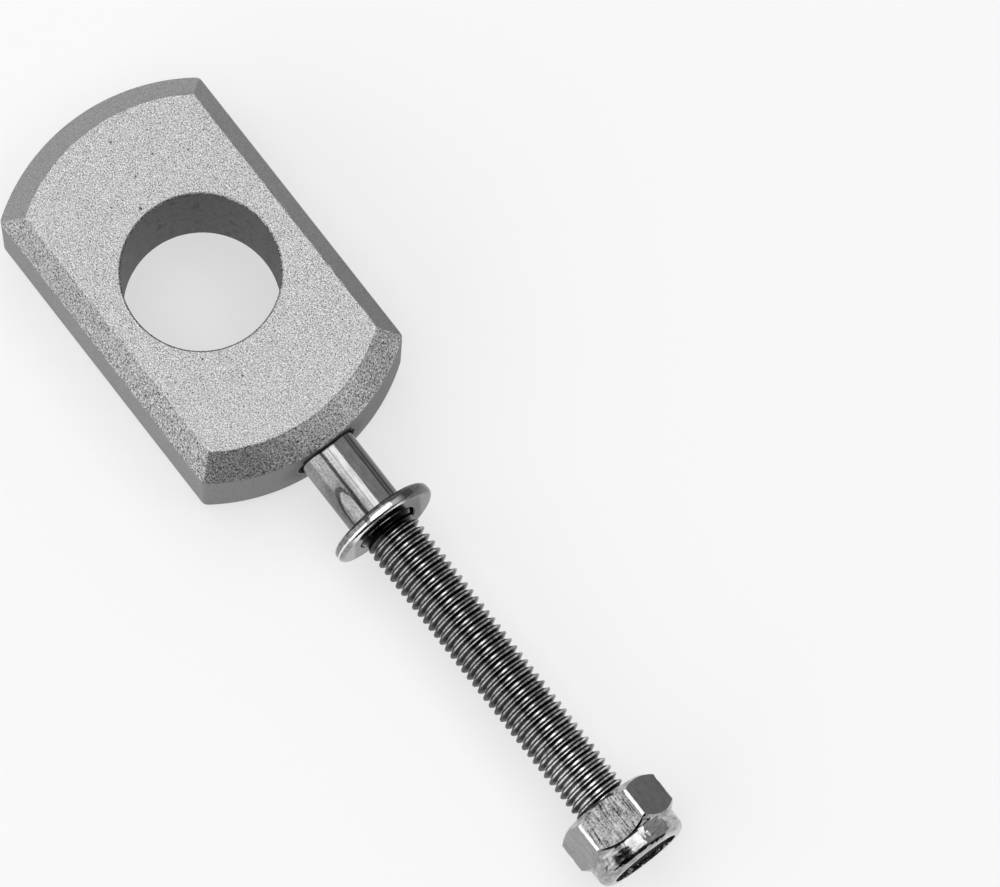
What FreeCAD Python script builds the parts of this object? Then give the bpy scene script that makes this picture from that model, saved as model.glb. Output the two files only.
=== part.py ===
import FreeCAD, Part
import math
import os

# Motorcycle chain adjuster: a bevelled steel block that holds the axle, a stud screwed
# into its end, a sprung lock washer on the stud's plain shank and a nylon lock nut.
# Millimetres. The origin is where the axle's axis crosses the stud's axis,
# +X runs out along the stud, +Z runs along the axle.

# Block
block_width = 42.0
block_thickness = 26.0
end_radius = 35.2
end_bevel_in = 4.3
side_bevel_in = 3.3
bevel_drop = 5.1
corner_round = 1.6
edge_ease = 0.3

# Axle bore
axle_bore_radius = 13.5
axle_rim_break = 0.3

# Stud
thread_radius = 5.0
shank_step = 0.15
shank_grip = 4.5
shank_reach = 16.1
relief_depth = 0.4
relief_length = 1.3
thread_length = 65.6
tail_recess = 2.0
stud_end_chamfer = 0.8
stud_play = 0.04
mouth_flare = 0.66
mouth_depth = 0.7

# Split lock washer
washer_thickness = 2.3
washer_spring = 1.8
washer_width = 4.25
washer_bore_play = 0.25
washer_rim_round = 0.9
washer_bore_round = 0.3
washer_setback = 0.95
washer_split = 0.8
washer_split_slant_deg = 20.0
washer_lean_deg = 2.7
washer_tip_deg = 3.2

# Lock nut
nut_across_flats = 17.0
nut_height = 11.4
nut_from_stud_end = 7.6
nut_turn_deg = 12.0
nut_bore_play = 0.05
nut_face_inset = 0.5
nut_face_slope_deg = 35.0
nut_edge_length = 4.95
collar_inset = 0.05
collar_round = 1.6
collar_wall = 1.1
lip_thickness = 0.9
nut_mouth_break = 0.5

# Nylon ring inside the nut's collar
insert_length = 2.4
insert_play = 0.06
insert_bore_break = 0.35

# Radii that follow from the sizes above
shank_radius = thread_radius + shank_step
relief_radius = thread_radius - relief_depth
washer_bore_radius = shank_radius + washer_bore_play
washer_rim_radius = washer_bore_radius + washer_width
nut_corner_radius = nut_across_flats / 2 / math.cos(math.radians(30))
nut_face_radius = nut_across_flats / 2 - nut_face_inset
nut_bore_radius = thread_radius + nut_bore_play
collar_radius = nut_across_flats / 2 - collar_inset
pocket_radius = collar_radius - collar_wall
lip_opening_radius = (nut_bore_radius + pocket_radius) / 2

# Places along the stud
block_end_x = end_radius
shoulder_x = block_end_x - shank_grip
shank_end_x = block_end_x + shank_reach
thread_start_x = shank_end_x + relief_length
stud_end_x = thread_start_x + thread_length
stud_tail_x = axle_bore_radius + tail_recess
washer_middle_x = shank_end_x - washer_setback
nut_face_x = stud_end_x - nut_from_stud_end
nut_end_x = nut_face_x + nut_height
insert_start_x = nut_end_x - lip_thickness - insert_play - insert_length

x_axis = FreeCAD.Vector(1, 0, 0)
y_axis = FreeCAD.Vector(0, 1, 0)
z_axis = FreeCAD.Vector(0, 0, 1)
origin = FreeCAD.Vector(0, 0, 0)


def turned_about_x(outline):
    """Solid of revolution about the stud's axis, from (x, radius) points in order."""
    points = [FreeCAD.Vector(x, radius, 0) for x, radius in outline]
    wire = Part.makePolygon(points + [points[0]])
    return Part.Face(wire).revolve(origin, x_axis, 360)


def turned_about_z(outline):
    """Solid of revolution about the axle's axis, from (radius, z) points in order."""
    points = [FreeCAD.Vector(radius, 0, z) for radius, z in outline]
    wire = Part.makePolygon(points + [points[0]])
    return Part.Face(wire).revolve(origin, z_axis, 360)


def block_outline_prism():
    # The plan outline: a disc centred on the axle, sawn to two flats, its four corners eased.
    base = FreeCAD.Vector(0, 0, -block_thickness / 2)
    disc = Part.makeCylinder(end_radius, block_thickness, base, z_axis)
    length = 2 * end_radius
    slab_corner = FreeCAD.Vector(-length / 2, -block_width / 2, -block_thickness / 2)
    prism = disc.common(Part.makeBox(length, block_width, block_thickness, slab_corner))
    corners = [edge for edge in prism.Edges if is_upright_corner(edge)]
    return prism.makeFillet(corner_round, corners)


def is_upright_corner(edge):
    ends = [vertex.Point for vertex in edge.Vertexes]
    if len(ends) < 2:
        return False
    upright = abs(abs(ends[0].z - ends[1].z) - block_thickness) < 1e-6
    on_flat = all(abs(abs(point.y) - block_width / 2) < 1e-6 for point in ends)
    off_middle = abs(ends[0].x) > end_radius / 2
    return upright and on_flat and off_middle


def bevelled_disc():
    # Cones round the ends, above and below.
    top = block_thickness / 2
    return turned_about_z([
        (0, -top),
        (end_radius - end_bevel_in, -top),
        (end_radius, -top + bevel_drop),
        (end_radius, top - bevel_drop),
        (end_radius - end_bevel_in, top),
        (0, top),
    ])


def bevelled_bar():
    # Flat bevels along the two sides, above and below. They meet the cones in a mitre.
    top = block_thickness / 2
    side = block_width / 2
    section = [
        (side - side_bevel_in, -top),
        (side, -top + bevel_drop),
        (side, top - bevel_drop),
        (side - side_bevel_in, top),
    ]
    section += [(-y, z) for y, z in reversed(section)]
    points = [FreeCAD.Vector(-end_radius, y, z) for y, z in section]
    face = Part.Face(Part.makePolygon(points + [points[0]]))
    return face.extrude(FreeCAD.Vector(2 * end_radius, 0, 0))


def axle_bore_cutter():
    top = block_thickness / 2
    rim = axle_bore_radius + axle_rim_break
    return turned_about_z([
        (0, -top - 1),
        (rim + 1, -top - 1),
        (axle_bore_radius, -top + axle_rim_break),
        (axle_bore_radius, top - axle_rim_break),
        (rim + 1, top + 1),
        (0, top + 1),
    ])


def stud_hole_cutter():
    # Tapped hole through to the axle bore, counterbored for the shank and eased at its mouth.
    tapped = thread_radius + stud_play
    counterbore = shank_radius + stud_play
    mouth_x = block_end_x - mouth_depth
    flared = counterbore + mouth_flare
    return turned_about_x([
        (0, 0),
        (0, tapped),
        (shoulder_x, tapped),
        (shoulder_x, counterbore),
        (mouth_x, counterbore),
        (block_end_x, flared),
        (block_end_x + 1, flared),
        (block_end_x + 1, 0),
    ])


def adjuster_block():
    body = block_outline_prism().common(bevelled_disc()).common(bevelled_bar())
    # Every outer edge is eased a little, as blasting leaves it.
    body = body.makeFillet(edge_ease, body.Edges)
    return body.cut(axle_bore_cutter()).cut(stud_hole_cutter())


def adjuster_stud():
    # Threads stand at their outside diameter. The shank's step seats in the counterbore.
    tip = thread_radius - stud_end_chamfer
    relief_slope = shank_radius - relief_radius
    thread_slope = thread_radius - relief_radius
    return turned_about_x([
        (stud_tail_x, 0),
        (stud_tail_x, tip),
        (stud_tail_x + stud_end_chamfer, thread_radius),
        (shoulder_x, thread_radius),
        (shoulder_x, shank_radius),
        (shank_end_x, shank_radius),
        (shank_end_x + relief_slope / 2, relief_radius),
        (thread_start_x - thread_slope / 2, relief_radius),
        (thread_start_x, thread_radius),
        (stud_end_x - stud_end_chamfer, thread_radius),
        (stud_end_x, tip),
        (stud_end_x, 0),
    ])


def washer_section():
    # Rounded rectangle in the plane of X and Z, well eased on its outer side.
    half = washer_thickness / 2
    low_corner = FreeCAD.Vector(washer_bore_radius, 0, -half)
    slab = Part.makeBox(washer_width, 1, washer_thickness, low_corner)
    slab = slab.makeFillet(washer_rim_round, edges_along_y(slab, washer_rim_radius))
    slab = slab.makeFillet(washer_bore_round, edges_along_y(slab, washer_bore_radius))
    near_face = min(slab.Faces, key=lambda face: abs(face.CenterOfMass.y))
    return near_face.OuterWire


def edges_along_y(slab, x):
    return [edge for edge in slab.Edges if edge.BoundBox.YLength > 0.5 and is_at(edge, x)]


def is_at(edge, x):
    return all(abs(vertex.Point.x - x) < 1e-6 for vertex in edge.Vertexes)


def lock_washer():
    # A little over one left-handed turn, trimmed by a slanting split on the underside.
    middle_radius = (washer_bore_radius + washer_rim_radius) / 2
    spare_turn = 0.04
    height = washer_spring * (1 + spare_turn)
    path = Part.makeHelix(washer_spring, height, middle_radius, 0, True)
    coil = Part.Wire(path).makePipeShell([washer_section()], True, True)
    coil.rotate(origin, z_axis, 180 * spare_turn)
    coil.translate(FreeCAD.Vector(0, 0, -height / 2))
    # The spare ends past the split fall away.
    reach = washer_rim_radius + washer_spring
    corner = FreeCAD.Vector(0, -washer_split / 2, -reach)
    split = Part.makeBox(reach, washer_split, 2 * reach, corner)
    split.rotate(origin, x_axis, washer_split_slant_deg)
    washer = max(coil.cut(split).Solids, key=lambda solid: solid.Volume)
    # Its top leans towards the block and its left side towards the nut.
    washer.rotate(origin, y_axis, 90 - washer_tip_deg)
    washer.rotate(origin, z_axis, washer_lean_deg)
    washer.translate(FreeCAD.Vector(washer_middle_x, 0, 0))
    return washer


def hexagon_prism():
    points = []
    for corner in range(6):
        angle = math.radians(60 * corner + nut_turn_deg)
        y = nut_corner_radius * math.cos(angle)
        z = nut_corner_radius * math.sin(angle)
        points.append(FreeCAD.Vector(nut_face_x, y, z))
    face = Part.Face(Part.makePolygon(points + [points[0]]))
    return face.extrude(FreeCAD.Vector(nut_height, 0, 0))


def nut_hexagon():
    # Chamfered on the bearing side, coned down to the collar on the other.
    slope = math.tan(math.radians(nut_face_slope_deg))
    edge_start_x = nut_face_x + (nut_corner_radius - nut_face_radius) * slope
    edge_end_x = edge_start_x + nut_edge_length
    cone_end_x = edge_end_x + nut_corner_radius - collar_radius
    envelope = turned_about_x([
        (nut_face_x, 0),
        (nut_face_x, nut_face_radius),
        (edge_start_x, nut_corner_radius),
        (edge_end_x, nut_corner_radius),
        (cone_end_x, collar_radius),
        (cone_end_x, 0),
    ])
    return hexagon_prism().common(envelope)


def nut_collar():
    # The thin collar's free end is rounded where it was rolled over the nylon ring.
    start_x = nut_face_x + nut_height / 2
    centre = FreeCAD.Vector(nut_end_x - collar_round, collar_radius - collar_round, 0)
    halfway = centre + FreeCAD.Vector(1, 1, 0).normalize() * collar_round

    def at(x, radius):
        return FreeCAD.Vector(x, radius, 0)

    round_start = at(nut_end_x - collar_round, collar_radius)
    round_end = at(nut_end_x, collar_radius - collar_round)
    start_radius = nut_across_flats / 2 - collar_wall
    outline = Part.Wire([
        Part.makeLine(at(start_x, 0), at(start_x, start_radius)),
        Part.makeLine(at(start_x, start_radius), at(start_x + collar_wall, collar_radius)),
        Part.makeLine(at(start_x + collar_wall, collar_radius), round_start),
        Part.Arc(round_start, halfway, round_end).toShape(),
        Part.makeLine(round_end, at(nut_end_x, 0)),
        Part.makeLine(at(nut_end_x, 0), at(start_x, 0)),
    ])
    return Part.Face(outline).revolve(origin, x_axis, 360)


def nut_bore_cutter():
    # Thread bore, the pocket for the nylon ring and the opening that the lip leaves.
    return turned_about_x([
        (nut_face_x - 1, 0),
        (nut_face_x - 1, nut_bore_radius + nut_mouth_break + 1),
        (nut_face_x + nut_mouth_break, nut_bore_radius),
        (insert_start_x - insert_play, nut_bore_radius),
        (insert_start_x - insert_play, pocket_radius),
        (nut_end_x - lip_thickness, pocket_radius),
        (nut_end_x - lip_thickness, lip_opening_radius),
        (nut_end_x + 1, lip_opening_radius),
        (nut_end_x + 1, 0),
    ])


def lock_nut():
    return nut_hexagon().fuse(nut_collar()).removeSplitter().cut(nut_bore_cutter())


def nut_insert():
    outside = pocket_radius - insert_play
    end_x = insert_start_x + insert_length
    return turned_about_x([
        (insert_start_x, nut_bore_radius),
        (insert_start_x, outside),
        (end_x, outside),
        (end_x, nut_bore_radius + insert_bore_break),
        (end_x - insert_bore_break, nut_bore_radius),
    ])


def save(node, shape):
    solid = shape.Solids[0] if len(shape.Solids) == 1 else shape
    solid.exportStep("parts/" + node + ".step")
    box = solid.BoundBox
    print(
        node, "solids", len(shape.Solids), "valid", shape.isValid(),
        "volume", round(shape.Volume, 1),
        "x", round(box.XMin, 2), round(box.XMax, 2),
        "y", round(box.YMin, 2), round(box.YMax, 2),
        "z", round(box.ZMin, 2), round(box.ZMax, 2),
    )


os.makedirs("parts", exist_ok=True)
save("adjuster_block", adjuster_block())
save("adjuster_stud", adjuster_stud())
save("lock_washer", lock_washer())
save("lock_nut", lock_nut())
save("nut_insert", nut_insert())
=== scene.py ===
import math

import bmesh
import bpy
from mathutils import Matrix, Vector


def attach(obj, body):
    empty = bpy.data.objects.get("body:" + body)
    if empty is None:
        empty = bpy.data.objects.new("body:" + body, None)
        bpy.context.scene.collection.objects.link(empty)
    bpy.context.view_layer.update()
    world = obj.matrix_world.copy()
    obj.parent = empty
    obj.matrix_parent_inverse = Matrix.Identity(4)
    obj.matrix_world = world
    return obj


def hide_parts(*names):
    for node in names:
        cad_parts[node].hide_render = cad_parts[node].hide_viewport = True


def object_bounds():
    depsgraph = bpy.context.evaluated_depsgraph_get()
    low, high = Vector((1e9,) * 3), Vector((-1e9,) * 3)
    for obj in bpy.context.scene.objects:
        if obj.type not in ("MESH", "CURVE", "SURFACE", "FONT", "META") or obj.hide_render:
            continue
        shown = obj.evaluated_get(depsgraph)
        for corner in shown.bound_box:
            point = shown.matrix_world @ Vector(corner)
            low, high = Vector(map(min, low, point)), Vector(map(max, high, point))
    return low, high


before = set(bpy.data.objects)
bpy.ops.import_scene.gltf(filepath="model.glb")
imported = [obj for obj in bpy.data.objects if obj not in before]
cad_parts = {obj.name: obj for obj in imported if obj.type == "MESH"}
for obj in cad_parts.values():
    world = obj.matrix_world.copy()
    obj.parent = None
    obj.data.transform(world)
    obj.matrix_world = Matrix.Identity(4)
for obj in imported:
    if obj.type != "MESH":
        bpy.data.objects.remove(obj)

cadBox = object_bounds()
mm = 0.001
print("frame loaded")


# One output socket of a node tree. Sums and products on it add Math nodes.
class Wire:
    def __init__(self, tree, socket):
        self.tree = tree
        self.socket = socket

    def node(self, kind, settings=None, inputs=None, output=0):
        made = self.tree.nodes.new(kind)
        for name, value in (settings or {}).items():
            if name == "stops":
                self.fillRamp(made.color_ramp, value)
            else:
                setattr(made, name, value)
        for name, value in (inputs or {}).items():
            self.plug(made.inputs[name], value)
        return Wire(self.tree, made.outputs[output])

    def plug(self, target, value):
        if isinstance(value, Wire):
            self.tree.links.new(value.socket, target)
        else:
            target.default_value = value

    def fillRamp(self, ramp, stops):
        while len(ramp.elements) < len(stops):
            ramp.elements.new(1.0)
        for element, (place, level) in zip(ramp.elements, stops):
            element.position = place
            element.color = grey(level)

    def maths(self, operation, first, second):
        return self.node("ShaderNodeMath", {"operation": operation}, {0: first, 1: second})

    def __add__(self, other):
        return self.maths("ADD", self, other)

    def __radd__(self, other):
        return self.maths("ADD", other, self)

    def __sub__(self, other):
        return self.maths("SUBTRACT", self, other)

    def __rsub__(self, other):
        return self.maths("SUBTRACT", other, self)

    def __mul__(self, other):
        return self.maths("MULTIPLY", self, other)

    def __rmul__(self, other):
        return self.maths("MULTIPLY", other, self)

    def __truediv__(self, other):
        return self.maths("DIVIDE", self, other)

    def least(self, other):
        return self.maths("MINIMUM", self, other)

    def most(self, other):
        return self.maths("MAXIMUM", self, other)

    def size(self):
        return self.node("ShaderNodeMath", {"operation": "ABSOLUTE"}, {0: self})

    # 0 below low, 1 above high, and smooth between them
    def fade(self, low, high):
        return self.node(
            "ShaderNodeMapRange", {"interpolation_type": "SMOOTHSTEP"},
            {"Value": self, "From Min": low, "From Max": high},
        )

    # self where mask is 0, other where it is 1
    def towards(self, other, mask):
        return self + (other - self) * mask


def grey(value):
    return (value, value, value, 1.0)


def newMaterial(name):
    material = bpy.data.materials.new(name)
    material.use_nodes = True
    shader = material.node_tree.nodes["Principled BSDF"]
    return material, shader, Wire(material.node_tree, shader.outputs[0])


def setMaterial(obj, material):
    obj.data.materials.clear()
    obj.data.materials.append(material)
    for face in obj.data.polygons:
        face.material_index = 0


# The place on a piece in millimetres
def placeOn(wire):
    metres = wire.node("ShaderNodeTexCoord", output="Object")
    return metres.node("ShaderNodeVectorMath", {"operation": "SCALE"}, {0: metres, "Scale": 1 / mm})


def split(vector):
    parts = vector.node("ShaderNodeSeparateXYZ", inputs={0: vector})
    return [Wire(vector.tree, socket) for socket in parts.socket.node.outputs]


def stretched(place, factors):
    return place.node("ShaderNodeVectorMath", {"operation": "MULTIPLY"}, {0: place, 1: factors})


# Length of the part of a place that lies along the axes marked 1
def reach(place, axes):
    part = stretched(place, axes)
    return part.node("ShaderNodeVectorMath", {"operation": "LENGTH"}, {0: part}, "Value")


def distanceTo(place, point):
    inputs = {0: place, 1: point}
    return place.node("ShaderNodeVectorMath", {"operation": "DISTANCE"}, inputs, "Value")


# Noise about zero, from -0.5 to 0.5, with grains of the given size in millimetres.
# A stretch squeezes the grains along its larger factors, which gives lines.
def grain(place, size, detail=2.0, stretch=None):
    if stretch:
        place = stretched(place, stretch)
    inputs = {"Vector": place, "Scale": 1 / size, "Detail": detail}
    return place.node("ShaderNodeTexNoise", inputs=inputs) - 0.5


# Round marks, 1 inside, on a share of the cells of the given spacing
def marks(place, spacing, radius, share):
    inputs = {"Vector": place, "Scale": 1 / spacing}
    distance = place.node("ShaderNodeTexVoronoi", {"feature": "F1"}, inputs, "Distance")
    colour = Wire(distance.tree, distance.socket.node.outputs["Color"])
    chosen = split(colour)[0].fade(1 - share, 1 - share + 0.02)
    return (1 - distance.fade(0.7 * radius / spacing, radius / spacing)) * chosen


def setLevel(wire, shader, level):
    tone = wire.node("ShaderNodeCombineColor", inputs={0: level, 1: level, 2: level})
    wire.plug(shader.inputs["Base Color"], tone)


def addBump(wire, shader, height, distance):
    inputs = {"Strength": 1.0, "Distance": distance * mm, "Height": height}
    wire.plug(shader.inputs["Normal"], wire.node("ShaderNodeBump", inputs=inputs))


# Block: places in millimetres, the grey levels of its faces, which hold painted light and shade,
# and pairs between which a mask fades
block = {
    "side": 17.7,
    "end": 30.9,
    "wall": 7.9,
    "edgeBlur": 0.15,
    "sideBevelWidth": 3.3,
    "endBevelWidth": 4.3,
    "mitre": (-0.04, 0.04),
    "boreWall": (13.75, 13.85),
    "boreRim": (12.72, 12.84),
    "topLevel": 0.48,
    "wallLevel": 0.2,
    "nearWallDark": 0.08,
    "nearWallDarker": 0.3,
    "leftBevel": 0.39,
    "rightBevel": 0.21,
    "rightBevelFall": 0.004,
    "farBevel": 0.33,
    "nearBevel": (0.25, 0.68),
    "nearBevelLightens": (-13, 1),
    "nearBevelDarkens": (5, 14),
    "nearBevelDark": 0.32,
    "boreLevel": 0.085,
    "boreNearShade": 0.45,
    "stain": (0.08, 0.14),
    "stainDark": 0.8,
    "pitDark": 0.8,
    "bump": 0.11,
    "metallic": 0.75,
    "roughness": 0.48,
    "spotHeight": 13,
    # (x, y, size) of the single pits on the top face
    "spots": [
        (-14.8, -1.4, 0.32), (-27.0, 1.5, 0.22), (-18.1, 11.1, 0.2), (-19.8, 1.3, 0.2),
        (-21.2, 5.9, 0.18), (-17.9, -5.2, 0.18), (-19.4, 15.2, 0.16), (20.8, 13.9, 0.18),
        (12.1, -8.8, 0.2), (18.4, -5.2, 0.22),
    ],
}

# The stud's hole in the block's end: its painted shade, a lighter ring at its rim, and a painted
# shadow in the crevice round the stud
lip = {
    "face": (30.0, 31.0),
    "shade": (6.2, 10.0),
    "shadeDark": 0.45,
    "rimFrom": (5.95, 6.02),
    "rimTo": (6.12, 6.22),
    "rimLight": 0.8,
    "rimBelow": (2.0, 4.0),
    "crevice": (5.88, 6.0),
    "creviceFace": (29.0, 30.2),
    "topGrowth": 1.15,
    "topFrom": (3.0, 5.2),
    "creviceShade": 0.98,
}


def makeBlockMaterial():
    material, shader, wire = newMaterial("blastedZinc")
    place = placeOn(wire)
    x, y, z = split(place)
    radius = reach(place, (1, 1, 0))
    wobble = grain(place, 2.6, 4.0) * 0.9
    fine = grain(place, 0.22)
    coarse = grain(place, 0.32, 3.0)

    # Which face a place is on: top, bevel, long side, near end, right side and bore
    blur = block["edgeBlur"]
    inside = (block["side"] - y.size()).least(block["end"] - radius) + wobble
    top = inside.fade(-blur, blur)
    bevel = (1 - top) * (z.size() + wobble * 0.4).fade(block["wall"] - blur, block["wall"] + blur)
    pastSide = (y.size() - block["side"]) / block["sideBevelWidth"]
    pastEnd = (radius - block["end"]) / block["endBevelWidth"]
    side = (pastSide - pastEnd).fade(*block["mitre"])
    east = x.fade(-1, 1)
    north = y.fade(-1, 1)
    bore = 1 - (z.size() + coarse * 0.7 + wobble * 0.3).fade(*block["boreRim"])
    bore = bore * (1 - radius.fade(*block["boreWall"]))

    # Grey levels: partly the finish, partly painted light and shade set face by face, so the left
    # bevel is lighter than the right and the near bevel lighter at its left
    darkNear, lightNear = block["nearBevel"]
    near = (y + wobble * 6).fade(*block["nearBevelLightens"]) * (lightNear - darkNear) + darkNear
    near = near * (1 - block["nearBevelDark"] * y.fade(*block["nearBevelDarkens"]))
    rightBevel = block["rightBevel"] * (1 - x * block["rightBevelFall"])
    sideLevel = block["leftBevel"] + (rightBevel - block["leftBevel"]) * north
    endLevel = block["farBevel"] + (near - block["farBevel"]) * east
    # Painted shade on the near end's wall, darker towards its right
    wallShade = block["nearWallDark"] + block["nearWallDarker"] * y.fade(0, 14)
    wall = block["wallLevel"] * (1 - east * (1 - side) * wallShade)
    level = wall.towards(endLevel.towards(sideLevel, side), bevel)
    level = level.towards(block["topLevel"], top)
    stains = grain(place, 2.2, 4.0, (1, 1, 0.6))
    boreLevel = block["boreLevel"] + stains * 0.16 + grain(place, 1.6, 4.0, (6, 6, 1)) * 0.08
    # Painted shade on the bore's near half
    boreLevel = boreLevel * (1 - block["boreNearShade"] * east)
    boreLevel = boreLevel * (1 - block["stainDark"] * (stains + fine * 0.6).fade(*block["stain"]))
    level = level.towards(boreLevel, bore)

    # Blasted grain: fine on top, coarse on the left and near bevels, weak elsewhere
    rough = bevel * ((1 - north) * side + east * (1 - side))
    fineShare = 1.9 + 1.5 * top * (1 - bore) + 1.2 * rough
    coarseShare = 0.7 + (2.8 + 0.9 * east) * rough + 0.7 * top
    level = level * (1 + fine * fineShare + coarse * coarseShare + wobble * 0.12)

    # Small pits, denser in places, and a few single ones
    pits = marks(place, 1.2, 0.09, 0.22) * grain(place, 9.0).fade(0.02, 0.15)
    pits = pits + marks(place, 3.1, 0.15, 0.2) * (1 - bore)
    for spotX, spotY, size in block["spots"]:
        away = distanceTo(place, (spotX, spotY, block["spotHeight"]))
        pits = pits + (1 - away.fade(0.5 * size, size))
    pits = pits.least(1.0)
    level = level * (1 - block["pitDark"] * pits)

    # The stud's hole: painted shade round it, a lighter ring low on its rim, and a painted shadow
    # in the crevice, widest at the top
    ring = reach(place, (0, 1, 1)) + wobble * 0.25
    onEnd = x.fade(*lip["face"]) * (1 - bevel)
    level = level * (1 - lip["shadeDark"] * onEnd * (1 - ring.fade(*lip["shade"])))
    rim = ring.fade(*lip["rimFrom"]) * (1 - ring.fade(*lip["rimTo"]))
    level = level * (1 + lip["rimLight"] * onEnd * rim * (1 - z.fade(*lip["rimBelow"])))
    crevice = 1 - (ring - lip["topGrowth"] * z.fade(*lip["topFrom"])).fade(*lip["crevice"])
    crevice = crevice * x.fade(*lip["creviceFace"])
    setLevel(wire, shader, level * (1 - lip["creviceShade"] * crevice))

    addBump(
        wire, shader, fine * (0.4 + 0.6 * top) + coarse * (0.25 + 1.2 * rough) - pits * 1.2,
        block["bump"],
    )
    # The painted shadow in the crevice is also dull and rough
    wire.plug(shader.inputs["Metallic"], block["metallic"] * (1 - crevice))
    wire.plug(shader.inputs["Roughness"], block["roughness"] + (1 - block["roughness"]) * crevice)
    return material


# Shank: places across are shares of its radius, from -1 at the left to 1 at the right.
shank = {
    "radius": 5.15,
    "level": 0.36,
    # Painted reflection: darker at the left, below the horizon on the left, and at the right
    "left": (0.2, 1.2),
    "leftDark": 0.25,
    "horizon": (0.0, 0.28),
    "horizonDark": 0.75,
    "right": (0.56, 0.63),
    "rightDark": 0.72,
    # (place across, half width, darkness) of each line
    "lines": [(0.755, 0.035, 0.8), (-0.36, 0.045, 0.6), (-0.07, 0.04, 0.35), (0.16, 0.02, 0.2)],
    # A patch beside the washer with a dark outline
    "patchX": 47.2,
    "patchLength": 5.2,
    "patchAcross": -0.62,
    "patchWidth": 0.24,
    "outlineFrom": (0.7, 0.8),
    "outlineTo": (1.1, 1.35),
    "outlineDark": 0.6,
    "aroundFrom": (38.5, 42.0),
    "aroundDark": 0.35,
    "relief": (51.05, 51.25),
    "reliefShade": 0.97,
    "bump": 0.012,
}


def makeShankMaterial():
    material, shader, wire = newMaterial("polishedShank")
    place = placeOn(wire)
    x, y, z = split(place)
    lines = grain(place, 3.0, 4.0, (1, 14, 14))
    fine = grain(place, 0.35, 3.0)
    cloud = grain(place, 1.6, 3.0)
    left = (0 - y).fade(*shank["left"])
    across = y / shank["radius"] + cloud * 0.02
    level = shank["level"] + lines * 0.36 + fine * (0.1 + 0.4 * left) + cloud * 0.2
    # Painted reflection darker towards both sides, with fine dark lines along it; the darkest, near
    # the right edge, is a painted reflection too
    horizon = 1 - (z / shank["radius"]).fade(*shank["horizon"])
    level = level * (1 - shank["rightDark"] * across.fade(*shank["right"]))
    level = level * (1 - shank["leftDark"] * left) * (1 - shank["horizonDark"] * left * horizon)
    for at, half, dark in shank["lines"]:
        level = level * (1 - dark * (1 - (across - at).size().fade(half * 0.6, half)))
    # The patch, its outline and the darkening round it
    along = (x - shank["patchX"]) / shank["patchLength"]
    aside = (across - shank["patchAcross"]) / shank["patchWidth"]
    far = along * along + aside * aside + cloud * 0.5
    outside = far.fade(*shank["outlineFrom"]) * left
    outline = outside * (1 - far.fade(*shank["outlineTo"]))
    level = level * (1 - shank["outlineDark"] * outline)
    level = level * (1 - shank["aroundDark"] * outside * x.fade(*shank["aroundFrom"]))
    # Painted shadow on the relief behind the washer
    level = level * (1 - shank["reliefShade"] * x.fade(*shank["relief"]))
    setLevel(wire, shader, level)
    addBump(wire, shader, lines * 0.4 + cloud * 0.5 + fine * 0.2, shank["bump"])
    wire.plug(shader.inputs["Roughness"], 0.09 + lines.size() * 0.12 + cloud.size() * 0.1)
    shader.inputs["Metallic"].default_value = 1.0
    return material


# Thread: radii in millimetres, and places across as shares of the radius
thread = {
    "flankLevel": 0.03,
    "left": (0.25, 0.6),
    "leftFlank": 0.1,
    "root": (4.14, 4.28),
    "rootLevel": 0.4,
    # (place across, pair between which it fades, change of level) of the root's painted highlight
    # bands
    "rootBands": [(0.12, (0.08, 0.24), 0.26), (-0.27, (0.05, 0.2), -0.19)],
    "rootRight": (0.4, 0.6),
    "rootRightDark": 0.2,
    "crest": (4.86, 4.97),
    "crestLevel": 0.28,
    "crestLeft": (0.76, 0.92),
    "crestLeftDark": 0.7,
    "crestRight": (0.1, 0.4),
    "crestRightLight": 0.5,
    "rightEdge": (0.6, 0.85),
    "rightEdgeDark": 0.4,
    "leftEdge": (0.8, 0.95),
    "leftEdgeDark": 0.6,
    "endX": (88, 108),
    "endLight": 0.5,
    "startX": (51.8, 53.4),
    "bump": 0.03,
}


def makeThreadMaterial():
    material, shader, wire = newMaterial("rolledThread")
    place = placeOn(wire)
    x, y, z = split(place)
    radius = reach(place, (0, 1, 1))
    patch = grain(place, 1.1, 3.0)
    fine = grain(place, 0.25)
    across = y / radius
    leftward = 0 - across
    left = leftward.fade(*thread["left"])
    # Painted light and shade: dark flanks, lighter on the left, between a root and a crest painted
    # bright as glints, the root in bands across
    height = radius + patch * 0.25
    root = thread["rootLevel"]
    for at, spread, change in thread["rootBands"]:
        root = root + change * (1 - (across - at).size().fade(*spread))
    root = root * (1 - thread["rootRightDark"] * across.fade(*thread["rootRight"]))
    root = root * (1 + patch * 1.8) * (1 - height.fade(*thread["root"]))
    crest = thread["crestLevel"] + patch * 0.9
    crest = crest * (1 - thread["crestLeftDark"] * leftward.fade(*thread["crestLeft"]))
    crest = crest * (1 + thread["crestRightLight"] * across.fade(*thread["crestRight"]))
    level = thread["flankLevel"] + thread["leftFlank"] * left
    level = level + crest * height.fade(*thread["crest"]) + root
    # Painted shade at both edges and painted light near the nut; the thread is also darker behind
    # the washer
    level = level * (1 - thread["rightEdgeDark"] * across.fade(*thread["rightEdge"]))
    level = level * (1 - thread["leftEdgeDark"] * leftward.fade(*thread["leftEdge"]))
    level = level * (1 + thread["endLight"] * x.fade(*thread["endX"])) * x.fade(*thread["startX"])
    setLevel(wire, shader, level * (1 + fine * 1.4))
    addBump(wire, shader, patch + fine * 0.5, thread["bump"])
    wire.plug(shader.inputs["Roughness"], 0.2 + patch.size() * 0.5 + 0.2 * left)
    shader.inputs["Metallic"].default_value = 1.0
    return material


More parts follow.
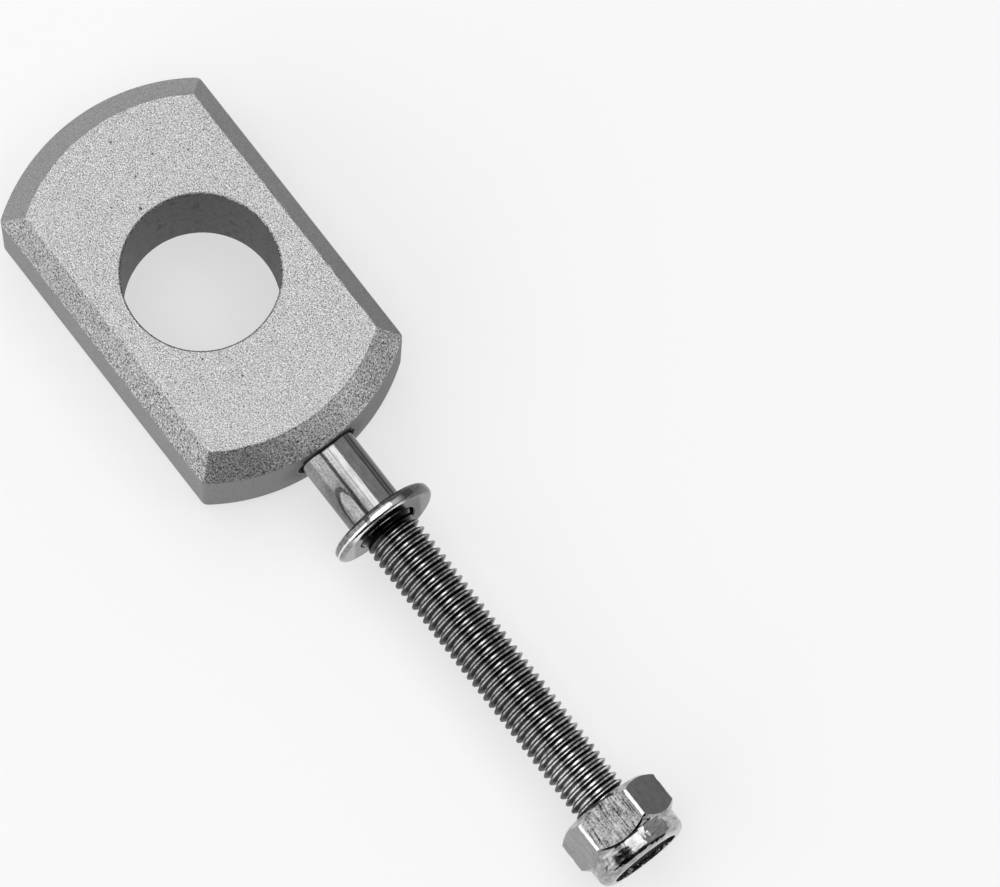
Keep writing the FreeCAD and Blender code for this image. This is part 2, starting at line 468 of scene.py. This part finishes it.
# Washer: its middle is a leaning plane plus a twist with the angle round the stud.
washer = {
    "middleX": 50.35,
    "leanY": 0.046,
    "leanZ": 0.055,
    "twist": 0.287,
    "level": 0.2,
    "edge": (0.1, 0.22),
    "edgeLevel": 0.9,
    "edgeStep": 0.2,
    "edgeStepY": (-2.6, -1.8),
    "edgeEndsY": (2.5, 4.5),
    "lobeLevel": 0.26,
    "lobeY": (6.0, 7.5),
    "lobeAcross": (0.3, 0.6),
    "rightY": (3, 6),
    "rightDark": 0.45,
    "face": (8.5, 8.9),
    "faceY": (6.4, 7.4),
    "faceShade": 0.96,
    "bore": (6.0, 6.4),
    "boreShade": 0.95,
    "bump": 0.03,
}


def makeWasherMaterial():
    material, shader, wire = newMaterial("polishedWasher")
    place = placeOn(wire)
    x, y, z = split(place)
    radius = reach(place, (0, 1, 1))
    turning = grain(place, 0.9, 4.0)
    fine = grain(place, 0.3, 3.0)
    # Place across the ring's thickness
    angle = y.maths("ARCTAN2", y, z)
    leaning = y * washer["leanY"] + z * washer["leanZ"] - angle * washer["twist"]
    across = x - washer["middleX"] + leaning
    # Painted highlight along the edge, over its left and middle
    edge = across + turning * 0.15 + washer["edgeStep"] * y.fade(*washer["edgeStepY"])
    edge = edge.fade(*washer["edge"]) * (1 - y.fade(*washer["edgeEndsY"]))
    lobes = y.size().fade(*washer["lobeY"]) * across.fade(*washer["lobeAcross"])
    level = washer["level"] + turning * 0.4 + fine * 0.2
    level = level.towards(washer["edgeLevel"], edge)
    level = level.towards(washer["lobeLevel"] + turning * 0.3, lobes)
    # Painted shade on the right side
    level = level * (1 - washer["rightDark"] * y.fade(*washer["rightY"]))
    # Painted shade: its face and bore lie in the dark between rim and thread.
    face = 1 - (radius + turning * 0.6).fade(*washer["face"])
    face = face * (1 - y.size().fade(*washer["faceY"]))
    level = level * (1 - washer["faceShade"] * face)
    level = level * (1 - washer["boreShade"] * (1 - radius.fade(*washer["bore"])))
    setLevel(wire, shader, level)
    addBump(wire, shader, turning + fine * 0.3, washer["bump"])
    wire.plug(shader.inputs["Roughness"], 0.08 + turning.size() * 0.25)
    shader.inputs["Metallic"].default_value = 1.0
    return material


# Nut: half its width across the flats, where it ends, and the levels of flats and collar, which
# hold painted light and shade
nut = {
    "half": 8.5,
    "turnDeg": 12.0,
    "flatsEndX": (118.9, 119.1),
    "flatLevel": 0.22,
    "rightFlat": 0.12,
    "rightTurn": (0.743, 0.669),
    "leftFlat": 0.32,
    "leftTurn": (-0.951, 0.309),
    "flatEdge": (0.8, 0.9),
    "wornGlintLevel": 0.85,
    "collarLevel": 0.36,
    "collarRight": (0.3, 0.7),
    "collarRightLight": 0.15,
    "smearX": 120.1,
    "smearDark": 0.95,
    # (y, z, size) of the dark smears on the collar
    "smears": [(-3.0, 7.2, 1.7), (-4.4, 6.4, 1.5), (1.9, 7.6, 0.9), (-6.4, 4.6, 0.9)],
    "creaseFromX": (115.5, 115.7),
    "creaseToX": (118.45, 118.6),
    "creaseShade": 0.96,
    "bump": 0.045,
}


def makeNutMaterial():
    material, shader, wire = newMaterial("zincNut")
    place = placeOn(wire)
    x, y, z = split(place)
    radius = reach(place, (0, 1, 1))
    lines = grain(place, 2.2, 4.0, (0.6, 8, 8))
    around = grain(place, 1.6, 4.0, (3, 1, 1))
    fine = grain(place, 0.3, 3.0)
    cloud = grain(place, 1.3, 3.0)
    dents = grain(place, 2.6)

    # Distances across the three pairs of flats: the widest tells a flat, the second a corner.
    sides = []
    for side in range(3):
        angle = math.radians(60 * side + nut["turnDeg"] + 30)
        sides.append((y * math.cos(angle) + z * math.sin(angle)).size())
    first, second, third = sides
    widest = first.most(second).most(third)
    corner = first.least(second).most(second.least(third)).most(first.least(third))
    half = nut["half"]
    hexagon = widest.fade(half - 0.04, half - 0.01) * (1 - x.fade(*nut["flatsEndX"]))
    # Worn corners, partly real wear and partly a painted highlight where rounded edges catch the
    # light
    wornGlint = (corner + grain(place, 0.9, 3.0) * 0.4).fade(half - 0.34, half - 0.24) * hexagon

    # The centre flat is brushed and marked, its neighbours are plain. Their grey levels are painted
    # light and shade: the right flat darker, the left lighter.
    rightY, rightZ = nut["rightTurn"]
    leftY, leftZ = nut["leftTurn"]
    towardsRight = (y * rightY + z * rightZ) / radius
    towardsLeft = (y * leftY + z * leftZ) / radius
    onRight = towardsRight.fade(*nut["flatEdge"])
    onLeft = towardsLeft.fade(*nut["flatEdge"])
    plain = onRight.most(onLeft)
    marked = 1 - 0.75 * plain
    flat = nut["flatLevel"] + (nut["rightFlat"] - nut["flatLevel"]) * onRight
    flat = flat.towards(nut["leftFlat"], onLeft)
    flat = flat * (1 + (lines * 3.2 + fine * 3.2 + cloud * 2.2) * marked)

    # The rolled collar carries streaks along its turn and dark smears, and painted light on its
    # right side.
    collar = nut["collarLevel"] + cloud * 0.3 + around * 0.6 + fine * 0.2
    collar = collar * (1 + nut["collarRightLight"] * towardsRight.fade(*nut["collarRight"]))
    for smearY, smearZ, size in nut["smears"]:
        away = distanceTo(place, (nut["smearX"], smearY, smearZ)) + around * 1.6
        collar = collar * (1 - nut["smearDark"] * (1 - away.fade(0.5 * size, size)))
    level = collar.towards(flat, hexagon).towards(nut["wornGlintLevel"] + cloud * 0.8, wornGlint)

    # Painted shade: a dark crease where the cone leaves the centre flat
    crease = widest.fade(half - 0.5, half - 0.36) * (1 - widest.fade(half - 0.03, half - 0.01))
    crease = crease * x.fade(*nut["creaseFromX"]) * (1 - x.fade(*nut["creaseToX"]))
    setLevel(wire, shader, level * (1 - nut["creaseShade"] * crease * (1 - 0.8 * plain)))

    height = (cloud + dents * 7 + around * 0.8) * (1 - hexagon)
    height = height + (lines + fine * 0.5) * hexagon * marked
    addBump(wire, shader, height, nut["bump"])
    polish = 0.09 + cloud.size() * 0.1
    wire.plug(shader.inputs["Roughness"], polish.towards(0.36, hexagon * (1 - wornGlint)))
    shader.inputs["Metallic"].default_value = 1.0
    return material


insert = {"level": 0.05, "bump": 0.05, "roughness": 0.55}


def makeNylonMaterial():
    material, shader, wire = newMaterial("nylonRing")
    cloud = grain(placeOn(wire), 1.0, 3.0)
    setLevel(wire, shader, insert["level"] + cloud * 0.04)
    addBump(wire, shader, cloud, insert["bump"])
    shader.inputs["Roughness"].default_value = insert["roughness"]
    return material


# Stud: its outlines are pairs of place along it and radius, in millimetres. The tooth is drawn
# from the root to the middle of the crest.
stud = {
    "steps": 72,
    "sharpDeg": 28,
    "pitch": 1.5,
    "phase": -0.28,
    "rod": [
        (15.5, 0.0), (15.5, 3.9), (15.55, 4.1), (16.25, 4.93), (16.4, 5.0), (30.7, 5.0),
        (30.7, 5.15), (51.15, 5.15), (51.3, 5.09), (51.7, 4.66), (51.86, 4.6), (51.95, 4.6),
    ],
    "tooth": [
        (0.0, 4.08), (0.08, 4.1), (0.15, 4.17), (0.58, 4.915), (0.62, 4.965), (0.68, 4.995),
        (0.75, 5.0),
    ],
    "threadFrom": 52.0,
    "threadTo": 118.2,
    "runOut": 1.5,
    "runOutRadius": 4.6,
    "tipRadius": 4.2,
    "tipRim": 0.3,
    "tipDepth": 0.1,
    "mergeDistance": 0.001,
}


def addPiece(name, shape, body, replaced, materials):
    mesh = bpy.data.meshes.new(name)
    shape.to_mesh(mesh)
    shape.free()
    mesh.transform(Matrix.Scale(mm, 4))
    obj = bpy.data.objects.new(name, mesh)
    bpy.context.collection.objects.link(obj)
    for material in materials:
        mesh.materials.append(material)
    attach(obj, body)
    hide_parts(*replaced)


def addOutline(shape, points):
    verts = [shape.verts.new((x, 0, radius)) for x, radius in points]
    return verts, [shape.edges.new(pair) for pair in zip(verts, verts[1:])]


def shadeSmooth(shape):
    for face in shape.faces:
        face.smooth = True
    for edge in shape.edges:
        edge.smooth = edge.calc_face_angle(0) < math.radians(stud["sharpDeg"])


def threadSurface():
    pitch = stud["pitch"]
    steps = stud["steps"]
    rise = stud["tooth"]
    tooth = rise + [(pitch - x, radius) for x, radius in reversed(rise[:-1])]
    start = stud["threadFrom"] - 2 * pitch + stud["phase"]
    shape = bmesh.new()
    verts, edges = addOutline(shape, [(start + x, radius) for x, radius in tooth])
    bmesh.ops.spin(
        shape, geom=verts + edges, cent=(0, 0, 0), axis=(1, 0, 0), dvec=(pitch / steps, 0, 0),
        angle=math.tau, steps=steps, use_merge=False,
    )
    # One turn is doubled until the thread is longer than the rod.
    length = pitch
    while start + length < stud["threadTo"] + 2 * pitch:
        copied = bmesh.ops.duplicate(shape, geom=shape.verts[:] + shape.edges[:] + shape.faces[:])
        moved = [item for item in copied["geom"] if isinstance(item, bmesh.types.BMVert)]
        bmesh.ops.translate(shape, vec=(length, 0, 0), verts=moved)
        length *= 2
    bmesh.ops.remove_doubles(shape, verts=shape.verts, dist=stud["mergeDistance"])
    for place, outwards in ((stud["threadFrom"], -1), (stud["threadTo"], 1)):
        bmesh.ops.bisect_plane(
            shape, geom=shape.verts[:] + shape.edges[:] + shape.faces[:], dist=0.0001,
            plane_co=(place, 0, 0), plane_no=(outwards, 0, 0), clear_outer=True,
        )
    # The thread fades into the relief at one end and is chamfered at the other.
    for vert in shape.verts:
        radius = math.hypot(vert.co.y, vert.co.z)
        fade = min(max((vert.co.x - stud["threadFrom"]) / stud["runOut"], 0), 1)
        wanted = stud["runOutRadius"] + (radius - stud["runOutRadius"]) * fade
        wanted = min(wanted, stud["tipRadius"] + stud["threadTo"] - vert.co.x)
        vert.co.y *= wanted / radius
        vert.co.z *= wanted / radius
    return shape


def makeStud(polished, threaded):
    shape = threadSurface()
    for face in shape.faces:
        face.material_index = 1
    verts, edges = addOutline(shape, stud["rod"])
    bmesh.ops.spin(
        shape, geom=verts + edges, cent=(0, 0, 0), axis=(1, 0, 0), angle=math.tau,
        steps=stud["steps"], use_merge=True,
    )
    bmesh.ops.remove_doubles(shape, verts=shape.verts, dist=stud["mergeDistance"])
    # The relief is joined to the thread's start, and the far end is capped.
    rims = [edge for edge in shape.edges if edge.is_boundary]
    middle = (stud["threadFrom"] + stud["threadTo"]) / 2
    seam = [edge for edge in rims if edge.verts[0].co.x < middle]
    end = [edge for edge in rims if edge.verts[0].co.x > middle]
    bmesh.ops.bridge_loops(shape, edges=seam)
    capped = bmesh.ops.contextual_create(shape, geom=end)
    bmesh.ops.inset_region(
        shape, faces=capped["faces"], thickness=stud["tipRim"], depth=-stud["tipDepth"],
    )
    bmesh.ops.recalc_face_normals(shape, faces=shape.faces)
    shadeSmooth(shape)
    addPiece(
        "threadedStud", shape, "block", ["adjuster_stud"], [polished, threaded],
    )


setMaterial(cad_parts["adjuster_block"], makeBlockMaterial())
makeStud(makeShankMaterial(), makeThreadMaterial())
setMaterial(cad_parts["lock_washer"], makeWasherMaterial())
setMaterial(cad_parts["lock_nut"], makeNutMaterial())
setMaterial(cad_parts["nut_insert"], makeNylonMaterial())
print("materials set")


# Studio: sizes and places in metres. The sky grey turns to the dark one along a direction.
studio = {
    "floorGrey": 0.9,
    "floorWhite": 0.55,
    "floorSize": 6.0,
    "floorGap": 0.00005,
    "skyGrey": 0.42,
    "darkGrey": 0.02,
    "darkTowards": (0.9, -0.3, -0.3),
    "skyEnds": 0.3,
    "darkStarts": 0.52,
    "overhead": {
        "size": (2.6, 1.9), "place": (0.0, 0.05, 2.0), "aim": (0.0, 0.0, 0.0), "radiance": 1.7,
    },
    "left": {
        "size": (2.2, 2.0), "place": (-0.4, -1.35, 1.02), "aim": (-0.4, 0.0, 1.02),
        "radiance": 1.15,
    },
}


def addFloor():
    half = studio["floorSize"] / 2
    mesh = bpy.data.meshes.new("floor")
    shape = bmesh.new()
    bmesh.ops.create_grid(shape, x_segments=1, y_segments=1, size=half)
    bmesh.ops.translate(shape, vec=(0, 0, cadBox[0][2] - studio["floorGap"]), verts=shape.verts)
    shape.to_mesh(mesh)
    shape.free()
    floor = bpy.data.objects.new("floor", mesh)
    bpy.context.collection.objects.link(floor)
    material, shader, wire = newMaterial("floorPaper")
    shader.inputs["Base Color"].default_value = grey(studio["floorGrey"])
    shader.inputs["Roughness"].default_value = 0.9
    shader.inputs["Specular IOR Level"].default_value = 0.0
    # Seen directly or in metal the paper is partly plain white, which lightens its shadows.
    path = wire.node("ShaderNodeLightPath")
    outputs = path.socket.node.outputs
    direct = Wire(wire.tree, outputs["Is Camera Ray"])
    mirrored = Wire(wire.tree, outputs["Is Glossy Ray"])
    refracted = Wire(wire.tree, outputs["Is Transmission Ray"])
    seen = direct.most(mirrored).most(refracted)
    white = wire.node("ShaderNodeEmission", inputs={"Color": grey(1.0), "Strength": 1.0})
    share = seen * studio["floorWhite"]
    mixed = wire.node("ShaderNodeMixShader", inputs={0: share, 1: wire, 2: white})
    wire.plug(wire.tree.nodes["Material Output"].inputs["Surface"], mixed)
    floor.data.materials.append(material)


def addLamp(name, lamp):
    light = bpy.data.lights.new(name, "AREA")
    light.shape = "RECTANGLE"
    light.size, light.size_y = lamp["size"]
    light.energy = lamp["radiance"] * math.pi * light.size * light.size_y
    obj = bpy.data.objects.new(name, light)
    bpy.context.collection.objects.link(obj)
    obj.location = lamp["place"]
    backwards = Vector(lamp["place"]) - Vector(lamp["aim"])
    obj.rotation_euler = backwards.to_track_quat("Z", "Y").to_euler()
    obj.visible_camera = False


# The room is a mid grey that falls dark towards the stud's end, where no lamp stands.
def addWorld():
    world = bpy.data.worlds.new("studio")
    world.use_nodes = True
    background = world.node_tree.nodes["Background"]
    wire = Wire(world.node_tree, background.outputs[0])
    east, north, up = split(wire.node("ShaderNodeTexCoord", output="Generated"))
    eastShare, northShare, upShare = studio["darkTowards"]
    place = east * eastShare + north * northShare + up * upShare
    stops = [(studio["skyEnds"], studio["skyGrey"]), (studio["darkStarts"], studio["darkGrey"])]
    tone = wire.node("ShaderNodeValToRGB", {"stops": stops}, {"Fac": place})
    wire.plug(background.inputs["Color"], tone)
    bpy.context.scene.world = world


# The camera stands over the block's open side, 1.25 m away, and looks along its own -Z.
camera = {
    "azimuthDeg": -44.82,
    "elevationDeg": 76.94,
    "rollDeg": -7.35,
    "distance": 1.25,
    "lens": 266.8,
    "sensor": 36.0,
    "aside": (0.05032, -0.02571),
}


def addCamera():
    azimuth = math.radians(camera["azimuthDeg"])
    elevation = math.radians(camera["elevationDeg"])
    roll = math.radians(camera["rollDeg"])
    towards = Vector((
        math.cos(elevation) * math.cos(azimuth),
        math.cos(elevation) * math.sin(azimuth),
        math.sin(elevation),
    ))
    level = Vector((-math.sin(azimuth), math.cos(azimuth), 0))
    upright = towards.cross(level)
    right = math.cos(roll) * level - math.sin(roll) * upright
    up = math.sin(roll) * level + math.cos(roll) * upright
    place = camera["distance"] * towards + camera["aside"][0] * right + camera["aside"][1] * up
    data = bpy.data.cameras.new("camera")
    data.lens = camera["lens"]
    data.sensor_width = camera["sensor"]
    data.clip_end = 20.0
    obj = bpy.data.objects.new("camera", data)
    bpy.context.collection.objects.link(obj)
    turn = Matrix((right, up, towards)).transposed()
    obj.matrix_world = Matrix.Translation(place) @ turn.to_4x4()
    bpy.context.scene.camera = obj


addFloor()
addWorld()
addLamp("overheadSoftbox", studio["overhead"])
addLamp("leftSoftbox", studio["left"])
addCamera()
bpy.context.scene.view_settings.view_transform = "Standard"
print("studio and camera set")
